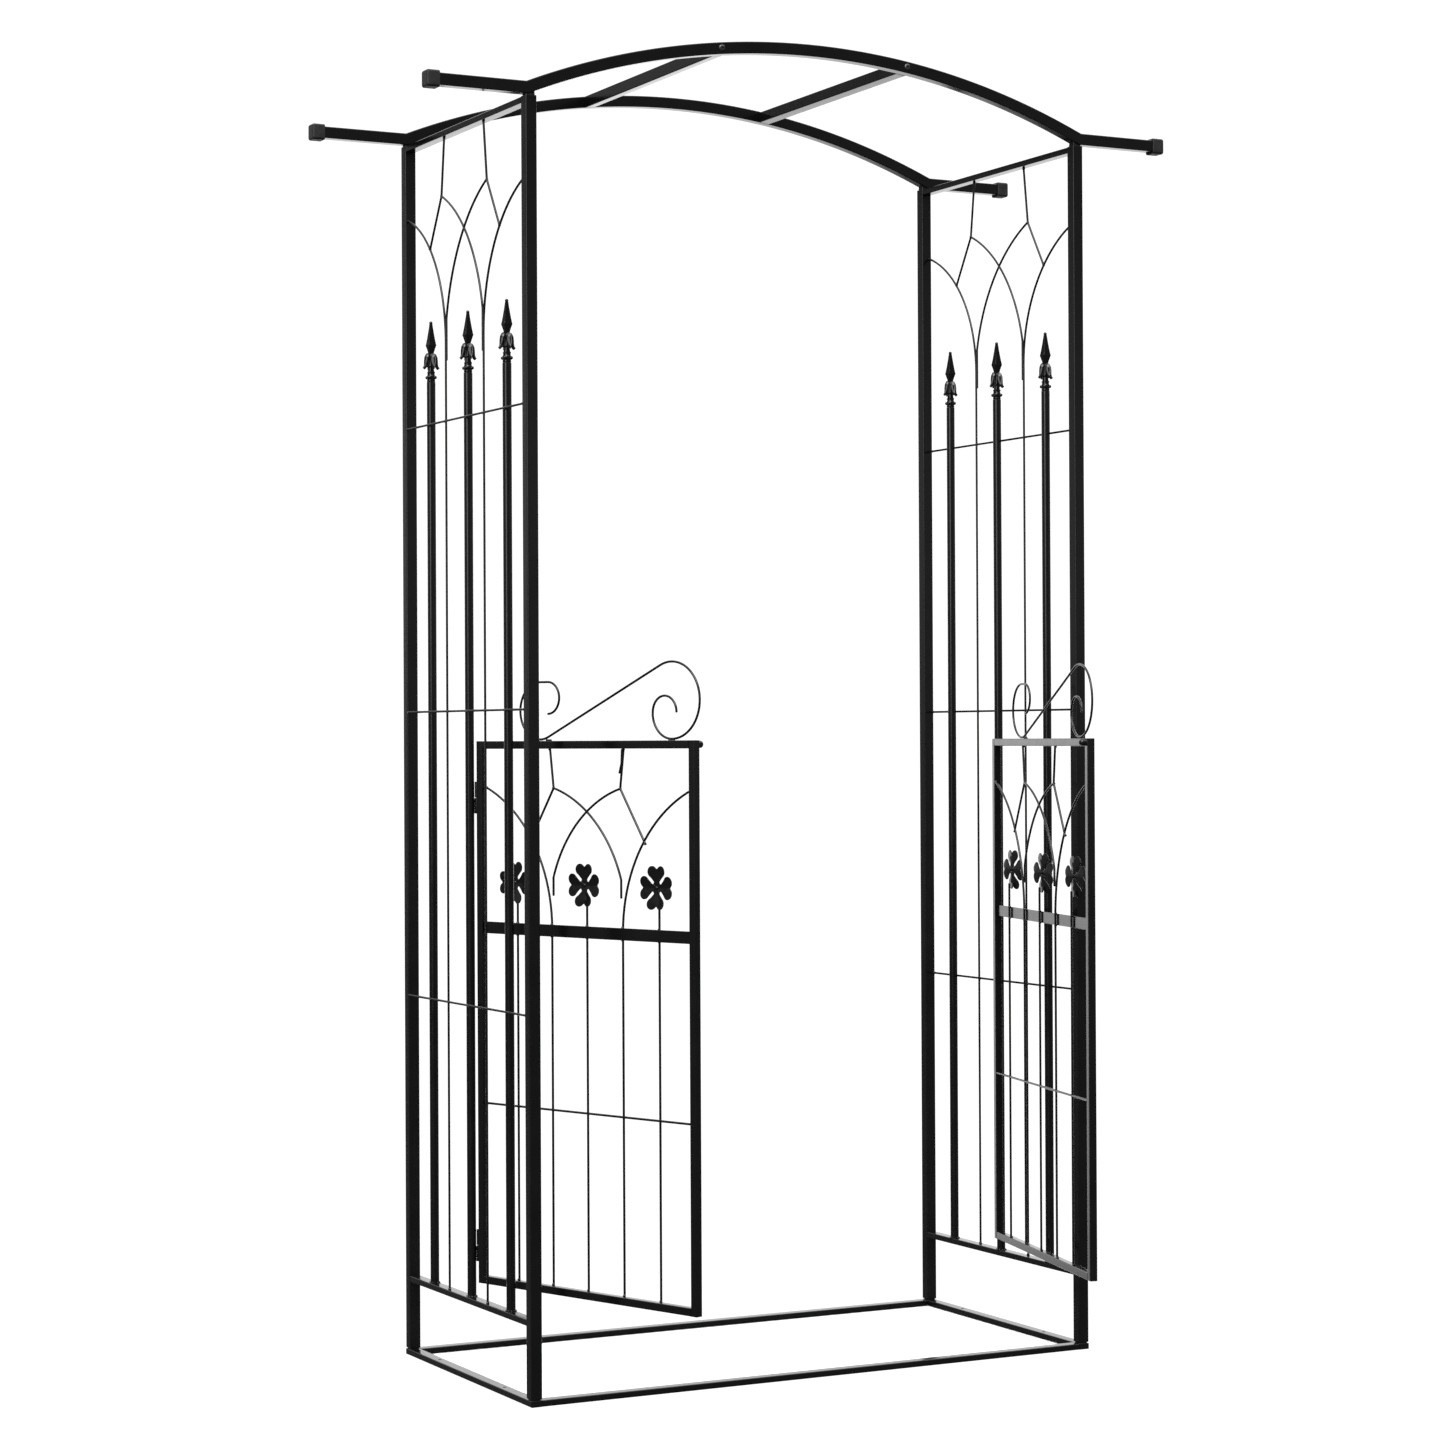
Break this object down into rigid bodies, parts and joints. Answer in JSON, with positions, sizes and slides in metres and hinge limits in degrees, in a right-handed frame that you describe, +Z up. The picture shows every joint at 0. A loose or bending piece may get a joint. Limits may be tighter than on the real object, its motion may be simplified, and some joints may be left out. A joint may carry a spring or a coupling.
{
  "type": "garden arch",
  "caption": "Tubular metal garden arch with trellis side panels, spear finials, arched top beams tied by cross rungs, and a pair of low swinging gates with scroll tops.",
  "frame": {"origin": "on the ground under the middle of the front ground bar", "axes": "+X across the passage to the right, +Y through the passage from front to rear, +Z up"},
  "size_m": [1.346, 0.7412, 2.1335],
  "materials": {
    "frame_paint": "gloss black powder coat",
    "panel_paint": "gloss black powder coat",
    "gate_paint": "gloss black powder coat",
    "wire_paint": "gloss black powder coat on bent wire",
    "casting_paint": "gloss black powder coat on cast or stamped trim",
    "cap_plastic": "dull black moulded"
  },
  "bodies": {
    "frame": {"ground_bar_front": "frame_paint", "ground_bar_rear": "frame_paint", "ground_bar_left": "frame_paint", "ground_bar_right": "frame_paint", "post_front_left": "frame_paint", "post_front_right": "frame_paint", "post_rear_left": "frame_paint", "post_rear_right": "frame_paint", "arch_front": "frame_paint", "arch_rear": "frame_paint", "arch_cap_front_left": "cap_plastic", "arch_cap_front_right": "cap_plastic", "arch_cap_rear_left": "cap_plastic", "arch_cap_rear_right": "cap_plastic", "arch_rung_left": "frame_paint", "arch_rung_right": "frame_paint", "left_panel_top_rail": "frame_paint", "left_panel_bottom_rail": "frame_paint", "left_panel_picket_front": "panel_paint", "left_panel_picket_middle": "panel_paint", "left_panel_picket_rear": "panel_paint", "left_panel_finial_front": "casting_paint", "left_panel_finial_middle": "casting_paint", "left_panel_finial_rear": "casting_paint", "left_panel_wirework": "wire_paint", "left_hinge_pin_lower": "panel_paint", "left_hinge_pin_upper": "panel_paint", "right_panel_top_rail": "frame_paint", "right_panel_bottom_rail": "frame_paint", "right_panel_picket_front": "panel_paint", "right_panel_picket_middle": "panel_paint", "right_panel_picket_rear": "panel_paint", "right_panel_finial_front": "casting_paint", "right_panel_finial_middle": "casting_paint", "right_panel_finial_rear": "casting_paint", "right_panel_wirework": "wire_paint", "right_hinge_pin_lower": "panel_paint", "right_hinge_pin_upper": "panel_paint"},
    "left_gate": {"left_gate_hinge_stile": "gate_paint", "left_gate_free_stile": "gate_paint", "left_gate_top_rail": "gate_paint", "left_gate_bottom_rail": "gate_paint", "left_gate_mid_rail": "gate_paint", "left_gate_wirework": "wire_paint", "left_gate_scroll": "wire_paint", "left_gate_clover_hinge": "casting_paint", "left_gate_clover_middle": "casting_paint", "left_gate_clover_free": "casting_paint"},
    "right_gate": {"right_gate_hinge_stile": "gate_paint", "right_gate_free_stile": "gate_paint", "right_gate_top_rail": "gate_paint", "right_gate_bottom_rail": "gate_paint", "right_gate_mid_rail": "gate_paint", "right_gate_wirework": "wire_paint", "right_gate_scroll": "wire_paint", "right_gate_clover_hinge": "casting_paint", "right_gate_clover_middle": "casting_paint", "right_gate_clover_free": "casting_paint"}
  },
  "joints": [
    {"name": "left_gate_hinge", "type": "hinge", "parent": "frame", "child": "left_gate", "pos_m": [-0.4874, 0.2415, 0.2142], "axis": [0, 0, 1], "range_deg": [-15.5, 130.5]},
    {"name": "right_gate_hinge", "type": "hinge", "parent": "frame", "child": "right_gate", "pos_m": [0.4874, 0.2415, 0.2142], "axis": [0, 0, 1], "range_deg": [-136.3, 9.7]}
  ]
}
